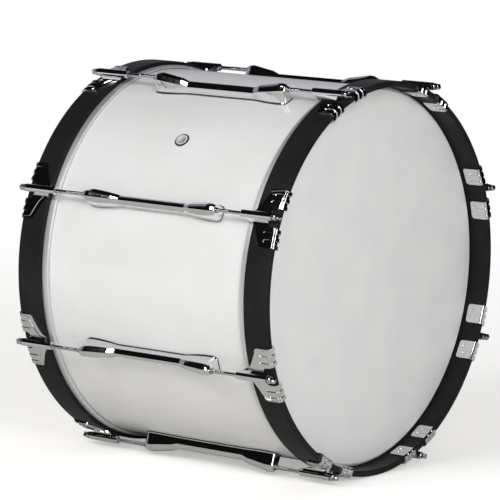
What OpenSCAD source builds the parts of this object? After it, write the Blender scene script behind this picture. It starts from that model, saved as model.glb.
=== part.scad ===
// Bass drum, 20 x 14 inch class: a ply shell with two heads, each held by a wooden hoop,
// eight double-leg claws and eight key-headed tension rods that screw into bridge lugs.
// The drum axis runs along Y. The drum stands on its two hoops at Z = 0.

/* [Shell] */
// Outside diameter of the shell
shell_d = 508; // [460:0.1:560]
// Distance between the two bearing edges
shell_len = 355.6; // [340:0.1:460]
// Thickness of the shell wall
shell_wall = 7.5; // [6:0.1:10]
// Distance of the crest of the bearing edge from the outer face
crest_inset = 4.3; // [3:0.1:5]

/* [Air vent] */
// Diameter of the hole through the grommet
vent_bore_d = 11; // [8:0.1:12]
// Diameter of the grommet's tube
vent_tube_d = 15; // [14:0.1:17]
// Diameter of the grommet's flange
vent_flange_d = 20.5; // [20:0.1:28]
// Height of the flange above the shell
vent_flange_h = 2; // [1.5:0.1:3]
// Angle of the vent from the top of the drum
vent_angle = 45; // [36:1:54]

/* [Heads] */
// Thickness of the film
film_t = 0.35; // [0.25:0.05:0.4]
// Distance from the crest of the bearing edge down to the wooden hoop
collar_h = 9.6; // [7:0.1:14]
// Radial width of the flesh hoop
flesh_w = 3.9; // [3.6:0.1:7]
// Axial height of the flesh hoop
flesh_h = 9.3; // [8:0.1:12]
// Sheet of the flesh hoop's channel
flesh_wall = 0.8; // [0.6:0.1:0.9]

/* [Wooden hoops] */
// Axial width of a hoop
hoop_w = 37.4; // [34:0.1:50]
// Radial thickness of a hoop
hoop_t = 8.5; // [7:0.1:13]
// Gap between the shell and the hoop
hoop_gap = 1.1; // [1:0.1:2]
// Radius on the four edges of a hoop
hoop_round = 1.5; // [0.8:0.1:2]

/* [Lugs] */
// Length of a bridge lug
lug_len = 215.8; // [200:0.1:240]
// Length of the slim bar between the two pods
bar_len = 112; // [100:1:120]
// Width of the slim bar at its foot
bar_foot_w = 13.8; // [12:0.1:16]
// Width of the slim bar where its sides turn into the sloping facets
bar_shoulder_w = 12.1; // [11:0.1:14]
// Width of the flat crown of the slim bar
bar_crown_w = 3.5; // [2:0.1:6]
// Height of those shoulders above the shell
bar_shoulder_h = 10.8; // [9:0.1:13]
// Height of the slim bar above the shell
bar_h = 16; // [14:0.1:17]
// Length over which the crown climbs from the bar to a pod
blend_len = 37; // [25:1:40]
// Width of a pod at its foot
pod_foot_w = 21.8; // [20:0.1:26]
// Width of a pod at its shoulders
pod_shoulder_w = 18.4; // [16:0.1:22]
// Width of the flat crown of a pod
pod_crown_w = 7.8; // [5:0.1:10]
// Height of a pod above the axis of its rod
pod_crown_h = 6.8; // [6.5:0.1:9]
// Thickness of the gasket under a lug
gasket_t = 1.2; // [0.8:0.1:2]
// How far the gasket shows round the foot of the lug
gasket_lip = 0.3; // [0.2:0.1:1.5]
// How far the lugs sit in front of the middle of the shell
lug_shift = 4; // [0:0.1:4]
// Distance between the two screws of a lug
screw_pitch = 127; // [124:0.1:134]
// Diameter of a lug screw
screw_d = 5; // [4.5:0.1:5.5]

/* [Tension rods] */
// Diameter of the thread of a rod
rod_d = 5.5; // [5:0.1:6]
// Diameter of the smooth shank of a rod
shank_d = 5.1; // [4.8:0.1:5.4]
// Length of thread that shows outside a swivel nut in the middle of its two places
thread_show = 21; // [10:0.5:40]
// Length of rod behind the nose of that nut
rod_grip = 19; // [17:0.5:19.5]
// Width across the flats of the key square
key_w = 6.35; // [5.5:0.05:6.5]
// Length of the key square
key_len = 6; // [5.5:0.5:10]
// Diameter of the collar under the key square
rod_collar_d = 9.5; // [9:0.1:11]
// Height of that collar, which is domed up to the square
rod_collar_t = 4.2; // [3:0.1:5]
// Thickness of the washer under the collar
rod_washer_t = 1; // [0.6:0.1:1.6]

/* [Claws] */
// Thickness of the casting over the hoop
claw_t = 2.7; // [2:0.1:3.2]
// Outside diameter of the rod barrel
barrel_d = 10.7; // [10:0.1:12]
// How far the barrel reaches past the hoop, towards the lug
barrel_lead = 14.8; // [8:0.1:18]
// How far the barrel stops short of the hoop's outer face
barrel_short = 3.2; // [1:0.1:4]
// Gap between the two legs at the front
leg_gap = 26.4; // [24:0.1:30]
// Width of one leg at the front
leg_w = 25.4; // [23:0.1:28]
// How deep the inner pad reaches inside the hoop
pad_depth = 22.1; // [18:0.1:24]
// Corner radius of an inner pad
pad_round = 4.4; // [2:0.1:7]
// Width of one stiffening groove
groove_w = 4.8; // [2:0.1:5]
// Depth of one stiffening groove
groove_depth = 1; // [0.5:0.1:1.3]
// Width of the lower band along the swept edge of a wing
wing_band_w = 7.5; // [4:0.1:9]
// Depth of that band below the rest of the wing
wing_band_depth = 0.6; // [0.3:0.1:1]

/* [Clearances] */
// Rod thread in the barrel of a claw
rod_clear = 0.35; // [0.3:0.05:0.45]
// Rod in the thread of a swivel nut, on the radius
thread_clear = 0.06; // [0.02:0.01:0.1]
// Between pieces that rest face to face
seat_gap = 0.05; // [0.02:0.01:0.1]
// Claw to the faces of the hoop
claw_fit = 0.1; // [0.05:0.05:0.3]
// Film to the bearing edge and to the side of the shell
film_seat = 0.3; // [0.2:0.05:0.35]

/* [Hidden] */

lug_count = 8;
$fn = 96;
ring_fn = 360;
white_wrap = "whitesmoke";
head_white = "gainsboro";
black_lacquer = "#242424";
chrome = "silver";
steel = "darkgray";
rubber = "#1c1c1c";
nylon = "ivory";

// Radii from the drum axis, and distances along it from the middle of the drum
shell_r = shell_d / 2;
bore_r = shell_r - shell_wall;
crest_y = shell_len / 2;
crest_r = shell_r - crest_inset;
hoop_in_r = shell_r + hoop_gap;
hoop_r = hoop_in_r + hoop_t;
hoop_in_y = crest_y - collar_h;
hoop_out_y = hoop_in_y + hoop_w;
claw_in_r = hoop_r + claw_fit;
claw_out_r = claw_in_r + claw_t;
barrel_lift = 0.25;
rod_r = claw_out_r + barrel_lift + barrel_d / 2;
barrel_in_y = hoop_in_y - barrel_lead;
barrel_out_y = hoop_out_y - barrel_short;
rod_seat_y = barrel_out_y + rod_washer_t + 2 * seat_gap;

// Flesh hoop, between the collar of the film and the inner face of the wooden hoop
flesh_in_r = shell_r + film_seat + film_t + seat_gap;
flesh_out_r = flesh_in_r + flesh_w;
flesh_out_y = hoop_in_y - seat_gap;
flesh_in_y = flesh_out_y - flesh_h;
flesh_mouth_h = 2.6;
flesh_mouth_y = flesh_out_y - flesh_mouth_h;

// Lug casting and what sits in its pods
lug_foot_r = shell_r + gasket_t;
lug_end_y = lug_len / 2;
bar_top_r = shell_r + bar_h;
bar_shoulder_r = shell_r + bar_shoulder_h;
pod_top_r = rod_r + pod_crown_h;
pod_shoulder_r = rod_r + 0.4;
end_round_len = 4.5;
end_drop = 2.2;
foot_round_len = 8;
foot_round = 5;
end_wall = 3;
nut_nose_d = 7.6;
nut_head_d = 9.6;
nut_head_len = 9;
nut_proud = 3.4;
nut_chamfer = 0.8;
nose_clear = 0.3;
nut_clear = 0.3;
nut_pocket_y = lug_end_y - end_wall;
sleeve_len = 8;
sleeve_bore_d = 7;
pocket_in_y = nut_pocket_y - nut_head_len - sleeve_len - 0.5;
rod_inner_y = lug_end_y + nut_proud - rod_grip;
screw_clear = 0.3;
thread_gap = 0.05;
trough_w = 8;
trough_roof = 2;
boss_wall = 2.2;
screw_grip = 9;
screw_head_d = 9;
screw_head_h = 3;
socket_w = 4;
socket_depth = 2;
washer_d = 14;
washer_t = 1.2;
// A flat washer meets the round inner face of the shell at its rim
washer_out_r = bore_r - washer_d * washer_d / (8 * bore_r) - seat_gap;

// Turns the top of the drum to the place of lug i
function lug_angle(i) = (i - 0.5) * 360 / lug_count;
function clamp(t) = max(0, min(1, t));
function smooth(t) = let (u = clamp(t)) u * u * (3 - 2 * u);
function quarter_round(t) = 1 - sqrt(1 - clamp(t) * clamp(t));
function mix(a, b, t) = a + (b - a) * t;
function bezier(a, b, c, t) = (1 - t) * (1 - t) * a + 2 * t * (1 - t) * b + t * t * c;

// Moves a piece from the middle of the drum up to where the drum stands
module standing() {
    translate([0, 0, hoop_r]) children();
}

// Places a piece that is drawn at the top of the drum
module at_angle(angle) {
    standing() rotate([0, -angle, 0]) children();
}

// Places a piece drawn on the rear side at the front or the rear
module at_side(front) {
    mirror([0, front ? 1 : 0, 0]) children();
}

module at_rod(i, front) {
    at_angle(lug_angle(i)) at_side(front) children();
}

module at_lug(i) {
    at_angle(lug_angle(i)) translate([0, -lug_shift, 0]) children();
}

// Revolves a section drawn as [radius, distance along the axis]
module revolve() {
    rotate([-90, 0, 0]) rotate_extrude($fn = ring_fn) children();
}

// A round bar along Y from y0 to y1, on the axis of a rod
module bar_along(y0, y1, d) {
    translate([0, y0, rod_r]) rotate([-90, 0, 0]) cylinder(h = y1 - y0, d = d);
}

// A rectangle between two corners with four round corners
module round_box(low, high, r) {
    translate([low[0] + r, low[1]]) square([high[0] - low[0] - 2 * r, high[1] - low[1]]);
    translate([low[0], low[1] + r]) square([high[0] - low[0], high[1] - low[1] - 2 * r]);
    for (x = [low[0] + r, high[0] - r], y = [low[1] + r, high[1] - r]) {
        translate([x, y]) circle(r = r, $fn = 32);
    }
}

// ---------------------------------------------------------------- shell and air vent

module shell_section() {
    inner_cut = shell_wall - crest_inset;
    polygon([
        [bore_r, -crest_y + inner_cut], [crest_r, -crest_y], [shell_r, -crest_y + crest_inset],
        [shell_r, crest_y - crest_inset], [crest_r, crest_y], [bore_r, crest_y - inner_cut],
    ]);
}

// Holes for the lug screws, drawn at the top of the drum
module screw_holes(d, r0, r1) {
    for (y = [-screw_pitch / 2, screw_pitch / 2]) {
        translate([0, y, r0]) cylinder(h = r1 - r0, d = d, $fn = 48);
    }
}

module shell() {
    color(white_wrap) standing() difference() {
        revolve() shell_section();
        rotate([0, -vent_angle, 0]) translate([0, 0, bore_r - shell_wall])
            cylinder(h = 3 * shell_wall, d = vent_tube_d + 2 * screw_clear);
        for (i = [1 : lug_count]) rotate([0, -lug_angle(i), 0]) translate([0, -lug_shift, 0])
            screw_holes(screw_d + 2 * screw_clear, bore_r - shell_wall, shell_r + shell_wall);
    }
}

vent_nut_h = 4;
vent_nut_wall = 4.5;
vent_tube_end_r = bore_r - vent_nut_h - 2;

module vent_grommet() {
    color(chrome) at_angle(vent_angle) difference() {
        union() {
            translate([0, 0, vent_tube_end_r])
                cylinder(h = shell_r - vent_tube_end_r, d = vent_tube_d);
            // Flange with a sloping rim, seated on the round face of the shell
            difference() {
                translate([0, 0, shell_r - 1]) rotate_extrude() polygon([
                    [0, 0], [vent_flange_d / 2, 0], [vent_flange_d / 2, 1 + vent_flange_h / 3],
                    [vent_flange_d / 2 - vent_flange_h, 1 + vent_flange_h], [0, 1 + vent_flange_h],
                ]);
                revolve() translate([0, -vent_flange_d]) square([shell_r, 2 * vent_flange_d]);
            }
        }
        translate([0, 0, vent_tube_end_r - 1])
            cylinder(h = shell_r - vent_tube_end_r + vent_flange_h + 2, d = vent_bore_d);
    }
}

// Knurled ring inside the shell, cut to the round inner face
module vent_nut() {
    nut_r = vent_tube_d / 2 + vent_nut_wall;
    color(chrome) at_angle(vent_angle) intersection() {
        translate([0, 0, bore_r - vent_nut_h - 1]) difference() {
            cylinder(h = vent_nut_h + 1, r = nut_r);
            translate([0, 0, -1]) cylinder(h = vent_nut_h + 3, d = vent_tube_d + 2 * thread_gap);
        }
        revolve() translate([0, -2 * nut_r]) square([bore_r - seat_gap, 4 * nut_r]);
    }
}

// ---------------------------------------------------------------- heads and hoops

// Film over the bearing edge, down the collar and into the bead cast in the flesh hoop
module head_section() {
    cut_y = crest_y - crest_inset;
    corner = tan(22.5);
    low = film_seat;
    high = film_seat + film_t;
    bead_in = flesh_in_r + flesh_wall + seat_gap;
    bead_out = flesh_out_r - flesh_wall - seat_gap;
    bead_low = flesh_in_y + flesh_wall + seat_gap;
    bead_high = flesh_out_y - flesh_wall - seat_gap;
    polygon([
        [0, crest_y + low], [crest_r + low * corner, crest_y + low],
        [shell_r + low, cut_y + low * corner], [shell_r + low, flesh_mouth_y],
        [bead_in, flesh_mouth_y], [bead_in, bead_low], [bead_out, bead_low],
        [bead_out, bead_high], [bead_in, bead_high], [bead_in, flesh_mouth_y + film_t],
        [shell_r + high, flesh_mouth_y + film_t], [shell_r + high, cut_y + high * corner],
        [crest_r + high * corner, crest_y + high], [0, crest_y + high],
    ]);
}

module head(front) {
    color(head_white) standing() at_side(front) revolve() head_section();
}

// Rolled channel, open at its inner upper corner where the film goes in
module flesh_hoop(front) {
    flange_r = flesh_in_r + flesh_w / 2;
    inner_y = flesh_mouth_y - 2 * seat_gap;
    color(steel) standing() at_side(front) revolve() polygon([
        [flesh_in_r, flesh_in_y], [flesh_out_r, flesh_in_y], [flesh_out_r, flesh_out_y],
        [flange_r, flesh_out_y], [flange_r, flesh_out_y - flesh_wall],
        [flesh_out_r - flesh_wall, flesh_out_y - flesh_wall],
        [flesh_out_r - flesh_wall, flesh_in_y + flesh_wall],
        [flesh_in_r + flesh_wall, flesh_in_y + flesh_wall],
        [flesh_in_r + flesh_wall, inner_y], [flesh_in_r, inner_y],
    ]);
}

module hoop(front) {
    color(black_lacquer) standing() at_side(front) revolve()
        round_box([hoop_in_r, hoop_in_y], [hoop_r, hoop_out_y], hoop_round);
}

// ---------------------------------------------------------------- lugs

// How far a distance y from the middle of the lug lies on the way from the bar to a pod: in
// height, which eases in and out, and in width, which only eases out
function to_pod(y) = smooth((abs(y) - bar_len / 2) / blend_len);
function to_wide(y) = sin(90 * clamp((abs(y) - bar_len / 2) / blend_len));
// How far the rounding of the end has come, at the crown and at the foot
function end_round(y) = quarter_round((abs(y) - lug_end_y + end_round_len) / end_round_len);
function foot_rounding(y) =
    quarter_round((abs(y) - lug_end_y + foot_round_len) / foot_round_len);
function foot_half_w(y) =
    mix(bar_foot_w, pod_foot_w, to_wide(y)) / 2 - foot_round * foot_rounding(y);
function shoulder_half_w(y) =
    mix(bar_shoulder_w, pod_shoulder_w, to_wide(y)) / 2 - foot_round * foot_rounding(y) * 3 / 4;
function crown_half_w(y) =
    mix(bar_crown_w, pod_crown_w, to_pod(y)) / 2 - end_drop * end_round(y) / 2;
function shoulder_r(y) =
    mix(bar_shoulder_r, pod_shoulder_r, to_pod(y)) - end_drop * end_round(y) / 2;
function crown_r(y) = mix(bar_top_r, pod_top_r, to_pod(y)) - end_drop * end_round(y);

// One cross-section: a foot, two leaning sides, a sloping facet each side and a narrow crown
function lug_section(y) = let (low = shell_r - gasket_t) [
    [-foot_half_w(y), y, low],
    [-shoulder_half_w(y), y, shoulder_r(y)],
    [-crown_half_w(y), y, crown_r(y)],
    [crown_half_w(y), y, crown_r(y)],
    [shoulder_half_w(y), y, shoulder_r(y)],
    [foot_half_w(y), y, low],
];

blend_steps = 9;
end_steps = 6;
half_stations = [
    for (i = [0 : blend_steps]) bar_len / 2 + blend_len * i / blend_steps,
    for (i = [0 : end_steps]) lug_end_y - foot_round_len * (1 - sin(90 * i / end_steps)),
];
lug_stations = concat(
    [for (i = [len(half_stations) - 1 : -1 : 0]) -half_stations[i]],
    half_stations
);

// Skin through a row of sections that all have the same number of points
module loft(sections) {
    n = len(sections[0]);
    last = len(sections) - 1;
    polyhedron(
        points = [for (s = sections) each s],
        faces = concat(
            [[for (k = [0 : n - 1]) k]],
            [[for (k = [n - 1 : -1 : 0]) last * n + k]],
            [for (i = [0 : last - 1], k = [0 : n - 1])
                [i * n + k, (i + 1) * n + k, (i + 1) * n + (k + 1) % n]],
            [for (i = [0 : last - 1], k = [0 : n - 1])
                [i * n + k, (i + 1) * n + (k + 1) % n, i * n + (k + 1) % n]]
        )
    );
}

// Outline of the lug's foot, grown by a lip
module foot_outline(lip) {
    last = len(lug_stations) - 1;
    polygon(concat(
        [for (y = lug_stations) [foot_half_w(y) + lip, y + sign(y) * lip]],
        [for (i = [last : -1 : 0])
            [-foot_half_w(lug_stations[i]) - lip, lug_stations[i] + sign(lug_stations[i]) * lip]]
    ));
}

// Room for a swivel nut and its sleeve, open towards the shell so that they can be put in
module nut_pocket() {
    pocket_d = nut_head_d + 2 * nut_clear;
    bar_along(pocket_in_y, nut_pocket_y, pocket_d);
    translate([-pocket_d / 2, pocket_in_y, lug_foot_r - gasket_t])
        cube([pocket_d, nut_pocket_y - pocket_in_y, rod_r - lug_foot_r + gasket_t]);
    bar_along(nut_pocket_y - 1, lug_end_y + 1, nut_nose_d + 2 * nose_clear);
}

module lug(i) {
    trough_len = screw_pitch - screw_d - 2 * boss_wall;
    trough_top_r = bar_shoulder_r + (bar_top_r - bar_shoulder_r) / 2 - trough_roof;
    color(chrome) at_lug(i) difference() {
        loft([for (y = lug_stations) lug_section(y)]);
        revolve() translate([0, -lug_len]) square([lug_foot_r, 2 * lug_len]);
        // Hollow under the bar, between the two screws
        translate([-trough_w / 2, -trough_len / 2, lug_foot_r - gasket_t])
            cube([trough_w, trough_len, trough_top_r - lug_foot_r + gasket_t]);
        screw_holes(screw_d + 2 * thread_gap, shell_r, lug_foot_r + screw_grip + 1);
        for (front = [false, true]) at_side(front) nut_pocket();
    }
}

module lug_gaskets() {
    color(rubber) for (i = [1 : lug_count]) at_lug(i) difference() {
        intersection() {
            revolve() translate([shell_r, -lug_len]) square([gasket_t, 2 * lug_len]);
            translate([0, 0, bore_r]) linear_extrude(height = 4 * shell_wall)
                foot_outline(gasket_lip);
        }
        screw_holes(screw_d + 2 * screw_clear, bore_r, shell_r + 4 * shell_wall);
    }
}

module lug_screws() {
    seat_r = washer_out_r - washer_t - seat_gap;
    color(steel) for (i = [1 : lug_count], y = [-screw_pitch / 2, screw_pitch / 2])
        at_lug(i) translate([0, y, 0]) {
            translate([0, 0, seat_r]) cylinder(h = lug_foot_r + screw_grip - seat_r, d = screw_d);
            translate([0, 0, seat_r - screw_head_h]) difference() {
                cylinder(h = screw_head_h, d = screw_head_d);
                translate([0, 0, -1])
                    cylinder(h = socket_depth + 1, d = socket_w / cos(30), $fn = 6);
            }
        }
}

module lug_washers() {
    color(steel) for (i = [1 : lug_count], y = [-screw_pitch / 2, screw_pitch / 2])
        at_lug(i) translate([0, y, washer_out_r - washer_t]) difference() {
            cylinder(h = washer_t, d = washer_d);
            translate([0, 0, -1]) cylinder(h = washer_t + 2, d = screw_d + 2 * screw_clear);
        }
}

module swivel_nuts() {
    head_out = nut_pocket_y - seat_gap;
    nose_y = lug_end_y + nut_proud;
    color(steel) for (i = [1 : lug_count], front = [false, true])
        at_lug(i) at_side(front) difference() {
            union() {
                bar_along(head_out - nut_head_len, head_out, nut_head_d);
                bar_along(head_out - 1, nose_y - nut_chamfer, nut_nose_d);
                translate([0, nose_y - nut_chamfer, rod_r]) rotate([-90, 0, 0])
                    cylinder(h = nut_chamfer, d1 = nut_nose_d, d2 = nut_nose_d - nut_chamfer);
            }
            bar_along(head_out - nut_head_len - 1, nose_y + 1, rod_d + 2 * thread_clear);
        }
}

module nut_sleeves() {
    sleeve_out = nut_pocket_y - nut_head_len - 2 * seat_gap;
    color(nylon) for (i = [1 : lug_count], front = [false, true])
        at_lug(i) at_side(front) difference() {
            bar_along(sleeve_out - sleeve_len + 2 * seat_gap, sleeve_out, nut_head_d + nut_clear);
            bar_along(sleeve_out - sleeve_len - 1, sleeve_out + 1, sleeve_bore_d);
        }
}

// ---------------------------------------------------------------- claws

leg_in_x = leg_gap / 2;
leg_out_x = leg_in_x + leg_w;
pad_end_y = hoop_out_y - pad_depth;
front_y = hoop_out_y + claw_fit + claw_t;
fold_r = 3.2;

// Root of the wings beside the barrel, and the notch that frees the barrel's outer end
root_x = 0.3 * leg_gap;
root_y = hoop_in_y + 0.4;
notch_x = root_x - 0.2;
notch_y = hoop_out_y - 0.315 * hoop_w;
notch_len = 0.25 * leg_w;

// Points of a wing's swept edge, as shares of the leg's width and of the hoop's width
wing_bend = [leg_in_x + 0.03 * leg_w, hoop_in_y + 0.18 * hoop_w];
wing_knee = [leg_in_x + 0.44 * leg_w, hoop_in_y + 0.30 * hoop_w];
wing_tip = [leg_out_x - 0.17 * leg_w, hoop_in_y + 0.42 * hoop_w];
tip_round = [leg_out_x - 0.12 * leg_w, hoop_in_y + 0.44 * hoop_w];
tip_end = [leg_out_x - 0.10 * leg_w, hoop_in_y + 0.50 * hoop_w];

// Two grooves a leg, this far to each side of its middle line. The outer one is shorter.
groove_spread = 0.193 * leg_w;
groove_y = hoop_in_y + 0.62 * hoop_w;
groove_step = 0.06 * hoop_w;

// The sheet that wraps a hoop: outer face, fold over the front edge, inner face
module wrap_section(grow, shrink) {
    difference() {
        round_box([hoop_in_r - claw_fit - claw_t + shrink, hoop_in_y - hoop_w],
            [claw_out_r - shrink, front_y - shrink], fold_r - shrink);
        round_box([hoop_in_r - claw_fit - grow, hoop_in_y - 2 * hoop_w],
            [claw_in_r + grow, hoop_out_y + claw_fit + grow], hoop_round + claw_fit + grow);
    }
}

// Half of the outer plate: root at the barrel, swept edge, leg and the notch beside the barrel
module wing_outline() {
    notch_end = [leg_in_x - 0.5, notch_y + notch_len];
    notch_bend = [leg_in_x - 0.8, notch_y];
    polygon(concat(
        [[-1, root_y]],
        [for (t = [0 : 0.125 : 1]) bezier([root_x, root_y], wing_bend, wing_knee, t)],
        [for (t = [0 : 0.25 : 1]) bezier(wing_tip, tip_round, tip_end, t)],
        [[leg_out_x, front_y + 1], [leg_in_x, front_y + 1]],
        [for (t = [0 : 0.125 : 1]) bezier(notch_end, notch_bend, [notch_x, notch_y], t)],
        [[-1, notch_y]]
    ));
}

module leg_outline() {
    intersection() {
        round_box([leg_in_x, pad_end_y], [leg_out_x, front_y + 3 * pad_round], pad_round);
        translate([0, pad_end_y - 1]) square([2 * leg_out_x, front_y + 2 - pad_end_y]);
    }
}

module groove_outline() {
    for (side = [-1, 1]) {
        end_y = groove_y + (side + 1) / 2 * groove_step;
        translate([leg_in_x + leg_w / 2 + side * groove_spread, end_y]) {
            translate([-groove_w / 2, 0]) square([groove_w, front_y + 2 - end_y]);
            circle(d = groove_w, $fn = 32);
        }
    }
}

// Strip of a wing along its swept edge
module wing_band_outline() {
    difference() {
        wing_outline();
        translate([0, wing_band_w]) wing_outline();
        translate([-leg_in_x, 0]) square([leg_in_x + notch_x, front_y + 2]);
    }
}

// Stands a plan outline up through the whole thickness of the hoop
module through_hoop(r0) {
    translate([0, 0, r0]) linear_extrude(height = rod_r - r0) children();
}

module claw_leg() {
    difference() {
        union() {
            intersection() {
                revolve() wrap_section(0, 0);
                through_hoop(hoop_in_r - 4 * claw_t) leg_outline();
            }
            intersection() {
                revolve() wrap_section(0, 0);
                through_hoop(hoop_in_r + hoop_t / 2) wing_outline();
            }
        }
        // Two grooves that run over the fold on to the inner pad
        intersection() {
            revolve() wrap_section(claw_t - groove_depth, 0);
            through_hoop(hoop_in_r - 4 * claw_t) groove_outline();
        }
        intersection() {
            revolve() wrap_section(claw_t - wing_band_depth, 0);
            through_hoop(hoop_in_r + hoop_t / 2) wing_band_outline();
        }
    }
}

// Foot that carries the barrel on the plate, with a slanted end past the edge of the hoop
module barrel_web() {
    foot = root_x + 0.4;
    neck = barrel_d * 0.46;
    low = claw_in_r + 0.3;
    intersection() {
        translate([0, front_y, 0]) rotate([90, 0, 0]) linear_extrude(height = front_y)
            polygon([[-foot, low], [foot, low], [neck, rod_r], [-neck, rod_r]]);
        translate([-foot - 1, 0, 0]) rotate([90, 0, 90]) linear_extrude(height = 2 * foot + 2)
            polygon([
                [barrel_in_y + 2, rod_r + 1], [root_y, low - 1],
                [notch_y, low - 1], [notch_y, claw_out_r], [notch_y + 3, rod_r + 1],
            ]);
    }
}

module claw(i, front) {
    color(chrome) at_rod(i, front) difference() {
        union() {
            claw_leg();
            mirror([1, 0, 0]) claw_leg();
            barrel_web();
            bar_along(barrel_in_y + 1.5, barrel_out_y, barrel_d);
            // Tapered mouth of the barrel
            translate([0, barrel_in_y, rod_r]) rotate([-90, 0, 0])
                cylinder(h = 1.5, d1 = barrel_d - 2, d2 = barrel_d);
        }
        bar_along(barrel_in_y - 1, barrel_out_y + 1, rod_d + 2 * rod_clear);
    }
}

// ---------------------------------------------------------------- tension rods

module rod(i, front) {
    tip = 1.2;
    thread_end_y = lug_end_y + nut_proud + thread_show;
    key_y = rod_seat_y + rod_collar_t;
    collar_r = rod_collar_d / 2;
    collar_rim = rod_collar_t / 4;
    color(chrome) at_rod(i, front) {
        // Thread with a chamfered tip, running out on to the thinner shank
        translate([0, rod_inner_y, rod_r]) rotate([-90, 0, 0]) rotate_extrude() polygon([
            [0, 0], [rod_d / 2 - tip / 2, 0], [rod_d / 2, tip],
            [rod_d / 2, thread_end_y - rod_inner_y],
            [shank_d / 2, thread_end_y - rod_inner_y + tip / 2],
            [shank_d / 2, rod_seat_y - rod_inner_y + 1], [0, rod_seat_y - rod_inner_y + 1],
        ]);
        // Domed collar, then the square for the key
        translate([0, rod_seat_y, rod_r]) rotate([-90, 0, 0]) rotate_extrude() polygon([
            [0, 0], [collar_r, 0],
            for (t = [0 : 0.125 : 1])
                bezier([collar_r, collar_rim], [collar_r, rod_collar_t], [key_w / 2, rod_collar_t], t),
            [0, rod_collar_t],
        ]);
        translate([0, key_y - 1, rod_r]) rotate([-90, 0, 0]) intersection() {
            translate([-key_w / 2, -key_w / 2, 0]) cube([key_w, key_w, key_len + 1]);
            cylinder(h = key_len + 1, d1 = key_w * 3.2, d2 = key_w * 1.2);
        }
    }
}

module rod_washers(front) {
    washer_y = barrel_out_y + seat_gap;
    color(nylon) for (i = [1 : lug_count]) at_rod(i, front) difference() {
        bar_along(washer_y, washer_y + rod_washer_t, rod_collar_d);
        bar_along(washer_y - 1, washer_y + rod_washer_t + 1, rod_d + 2 * rod_clear);
    }
}

// ---------------------------------------------------------------- nodes

shell();
vent_grommet();
vent_nut();
head(true);  // front_head
head(false);  // rear_head
flesh_hoop(true);  // front_flesh_hoop
flesh_hoop(false);  // rear_flesh_hoop
hoop(true);  // front_hoop
hoop(false);  // rear_hoop
for (i = [1 : lug_count]) {
    lug(i);
    claw(i, true);
    claw(i, false);
    rod(i, true);
    rod(i, false);
}
lug_gaskets();
lug_screws();
lug_washers();
swivel_nuts();
nut_sleeves();
rod_washers(true);  // front_rod_washers
rod_washers(false);  // rear_rod_washers
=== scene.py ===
"""Looks of a double-headed bass drum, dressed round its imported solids.

The drum's axis runs along Y, the front head faces -Y and the drum stands on its two wooden
hoops at Z = 0. Lengths in the classes are millimetres, as a drum maker writes them, and are
turned into metres where a mesh is made. A piece that repeats is drawn once, at the top of the
drum's rear end with the axis at Z = 0, and carried to its places.
"""

from __future__ import annotations

import logging
import math
import random
from dataclasses import dataclass, field
from enum import Enum
from typing import Any, Sequence

import bmesh
import bpy
from mathutils import Matrix, Vector

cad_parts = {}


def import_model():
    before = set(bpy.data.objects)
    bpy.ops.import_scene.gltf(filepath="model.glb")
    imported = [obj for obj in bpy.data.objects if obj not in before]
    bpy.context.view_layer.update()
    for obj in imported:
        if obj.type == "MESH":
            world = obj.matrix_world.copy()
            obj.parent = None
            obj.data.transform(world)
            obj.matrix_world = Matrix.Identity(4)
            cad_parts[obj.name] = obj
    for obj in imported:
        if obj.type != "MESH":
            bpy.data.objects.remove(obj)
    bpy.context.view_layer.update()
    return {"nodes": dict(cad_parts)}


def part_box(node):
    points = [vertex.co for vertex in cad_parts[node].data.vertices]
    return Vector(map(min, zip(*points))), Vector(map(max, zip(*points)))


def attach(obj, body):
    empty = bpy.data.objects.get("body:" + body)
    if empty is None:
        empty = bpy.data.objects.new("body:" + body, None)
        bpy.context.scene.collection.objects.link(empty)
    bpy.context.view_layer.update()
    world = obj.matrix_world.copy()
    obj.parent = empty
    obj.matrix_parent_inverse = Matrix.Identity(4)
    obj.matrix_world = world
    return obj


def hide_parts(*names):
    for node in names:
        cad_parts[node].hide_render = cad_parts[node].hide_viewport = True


LOG = logging.getLogger("bass_drum")
MM = 0.001
AXIS_HEIGHT = 263.6
SHELL_RADIUS = 254.0
Point = tuple[float, float]
Place = tuple[float, float, float]
Pair = tuple[str, str]
Line = Sequence[Point]
Face = tuple[int, ...]
Node, Socket = bpy.types.Node, bpy.types.NodeSocket
Piece, Mesh, Work = bpy.types.Object, bpy.types.Mesh, bmesh.types.BMesh
Looks = tuple[Socket, Socket, Socket]


# --- shared helpers


def linear(code: str) -> tuple[float, float, float, float]:
    """Turns an sRGB hex colour into linear light.

    Args:
        code: the colour as "#rrggbb".

    Returns:
        Linear red, green and blue, and an alpha of 1.
    """
    parts = [int(code[i : i + 2], 16) / 255 for i in (1, 3, 5)]
    light = [c / 12.92 if c <= 0.04045 else ((c + 0.055) / 1.055) ** 2.4 for c in parts]
    return (*light, 1.0)


def between(pair: Point, share: float) -> float:
    """The value at a share of the way from the first of a pair to the second."""
    return pair[0] + (pair[1] - pair[0]) * share


def in_scene(name: str, data: Any) -> Piece:
    """Makes an object of a mesh, lamp or camera, at the origin of the scene.

    Args:
        name: its name.
        data: its mesh, lamp or camera.

    Returns:
        The object.
    """
    made = bpy.data.objects.new(name, data)
    bpy.context.scene.collection.objects.link(made)
    return made


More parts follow.
